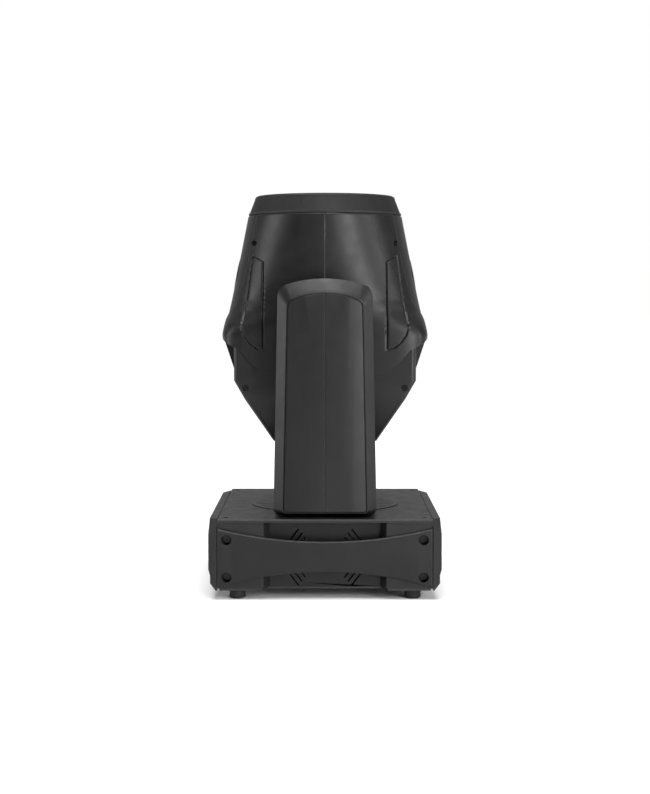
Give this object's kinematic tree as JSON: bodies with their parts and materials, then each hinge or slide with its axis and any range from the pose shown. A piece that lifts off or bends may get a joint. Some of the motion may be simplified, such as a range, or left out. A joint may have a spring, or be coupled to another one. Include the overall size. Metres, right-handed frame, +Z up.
{
  "type": "moving head light",
  "caption": "Motorised stage light: lamp head tilting in a two-armed yoke that pans on a low base with grip straps, display and sockets.",
  "frame": {"origin": "on the floor under the middle of the base, at the undersides of the feet", "axes": "+Z up, X along the tilt axis with the grip straps at both ends, -Y the display side, +Y the connector side"},
  "size_m": [0.34, 0.284, 0.499],
  "materials": {
    "body_plastic": "fine-textured black moulded plastic",
    "steel": "black powder-coated steel plate",
    "rubber": "black rubber",
    "screw_steel": "blackened steel screws",
    "bare_steel": "bright steel",
    "aluminium": "bare aluminium",
    "display": "dark glossy screen",
    "button": "dark grey push button",
    "power_plastic": "dark blue and grey socket plastic",
    "socket_metal": "black coated socket",
    "switch": "glossy black rocker",
    "circuit": "green circuit board",
    "belt": "black timing belt",
    "optic": "clear optical glass",
    "filter": "wheel with colour filters",
    "led": "light source module"
  },
  "bodies": {
    "base": {"base_tray": "steel", "rubber_feet": "rubber", "side_panel_right": "body_plastic", "side_panel_left": "body_plastic", "handle_right": "body_plastic", "handle_left": "body_plastic", "base_screws": "screw_steel", "base_top": "body_plastic", "pan_disc": "body_plastic", "panel_front": "body_plastic", "display_window": "display", "panel_rear": "body_plastic", "power_sockets": "power_plastic", "signal_sockets": "socket_metal", "bearing_plate": "steel", "pan_bearing": "bare_steel", "power_supply": "aluminium", "main_board": "circuit", "pan_motor": "steel", "pan_belt": "belt"},
    "menu_button_1": {"menu_button_1": "button"},
    "menu_button_2": {"menu_button_2": "button"},
    "menu_button_3": {"menu_button_3": "button"},
    "menu_button_4": {"menu_button_4": "button"},
    "power_switch": {"power_switch": "switch"},
    "pan_pinion": {"pan_pinion": "aluminium"},
    "yoke": {"pan_hub": "aluminium", "yoke_frame": "steel", "yoke_cover": "body_plastic", "arm_shell_right": "body_plastic", "arm_shell_left": "body_plastic", "arm_inner_right": "body_plastic", "arm_inner_left": "body_plastic", "arm_panel_right_front": "body_plastic", "arm_panel_right_rear": "body_plastic", "arm_panel_left_front": "body_plastic", "arm_panel_left_rear": "body_plastic", "tilt_bearings": "bare_steel", "tilt_motor": "steel", "tilt_belt": "belt"},
    "tilt_pinion": {"tilt_pinion": "aluminium"},
    "head": {"trunnions": "bare_steel", "tilt_pulley": "aluminium", "head_chassis": "aluminium", "led_module": "led", "heat_sink": "aluminium", "rear_grille": "body_plastic", "rear_housing": "body_plastic", "head_cover_rear": "body_plastic", "head_cover_front": "body_plastic", "side_blades": "body_plastic", "head_screws": "screw_steel", "bezel": "body_plastic", "front_lens": "optic", "vent_badges": "body_plastic"},
    "colour_wheel": {"colour_wheel": "filter"},
    "gobo_wheel": {"gobo_wheel": "aluminium"},
    "prism_arm": {"prism_arm": "optic"},
    "focus_carriage": {"focus_carriage": "aluminium"},
    "fan_rotor": {"fan_rotor": "body_plastic"}
  },
  "joints": [
    {"name": "pan", "type": "hinge", "parent": "base", "child": "yoke", "pos_m": [0, 0, 0.1], "axis": [0, 0, 1], "range_deg": [-270, 270]},
    {"name": "pan_pinion_spin", "type": "hinge", "parent": "base", "child": "pan_pinion", "pos_m": [0, -0.088, 0.066], "axis": [0, 0, 1], "range_deg": [-1620, 1620]},
    {"name": "tilt", "type": "hinge", "parent": "yoke", "child": "head", "pos_m": [0, 0, 0.326], "axis": [1, 0, 0], "range_deg": [-135, 135]},
    {"name": "tilt_pinion_spin", "type": "hinge", "parent": "yoke", "child": "tilt_pinion", "pos_m": [0.136, 0, 0.215], "axis": [1, 0, 0], "range_deg": [-540, 540]},
    {"name": "colour_wheel_spin", "type": "hinge", "parent": "head", "child": "colour_wheel", "pos_m": [0, 0.04, 0.283], "axis": [0, 0, 1], "continuous": true},
    {"name": "gobo_wheel_spin", "type": "hinge", "parent": "head", "child": "gobo_wheel", "pos_m": [0, -0.04, 0.297], "axis": [0, 0, 1], "continuous": true},
    {"name": "prism_swing", "type": "hinge", "parent": "head", "child": "prism_arm", "pos_m": [0.058, 0, 0.3145], "axis": [0, 0, -1], "range_deg": [0, 50]},
    {"name": "focus_slide", "type": "slide", "parent": "head", "child": "focus_carriage", "axis": [0, 0, 1], "range_m": [-0.03, 0.03]},
    {"name": "fan_spin", "type": "hinge", "parent": "head", "child": "fan_rotor", "pos_m": [0, 0, 0.203], "axis": [0, 0, 1], "continuous": true},
    {"name": "menu_button_1_press", "type": "slide", "parent": "base", "child": "menu_button_1", "axis": [0, 1, 0], "range_m": [0, 0.001], "stiffness_N_per_m": 300, "springref_m": -0.0005},
    {"name": "menu_button_2_press", "type": "slide", "parent": "base", "child": "menu_button_2", "axis": [0, 1, 0], "range_m": [0, 0.001], "stiffness_N_per_m": 300, "springref_m": -0.0005},
    {"name": "menu_button_3_press", "type": "slide", "parent": "base", "child": "menu_button_3", "axis": [0, 1, 0], "range_m": [0, 0.001], "stiffness_N_per_m": 300, "springref_m": -0.0005},
    {"name": "menu_button_4_press", "type": "slide", "parent": "base", "child": "menu_button_4", "axis": [0, 1, 0], "range_m": [0, 0.001], "stiffness_N_per_m": 300, "springref_m": -0.0005},
    {"name": "power_switch_rock", "type": "hinge", "parent": "base", "child": "power_switch", "pos_m": [-0.01, 0.1365, 0.06], "axis": [1, 0, 0], "range_deg": [0, 14]}
  ],
  "couplings": [
    {"joint": "pan_pinion_spin", "follows": "pan", "ratio": 6},
    {"joint": "tilt_pinion_spin", "follows": "tilt", "ratio": 4}
  ]
}
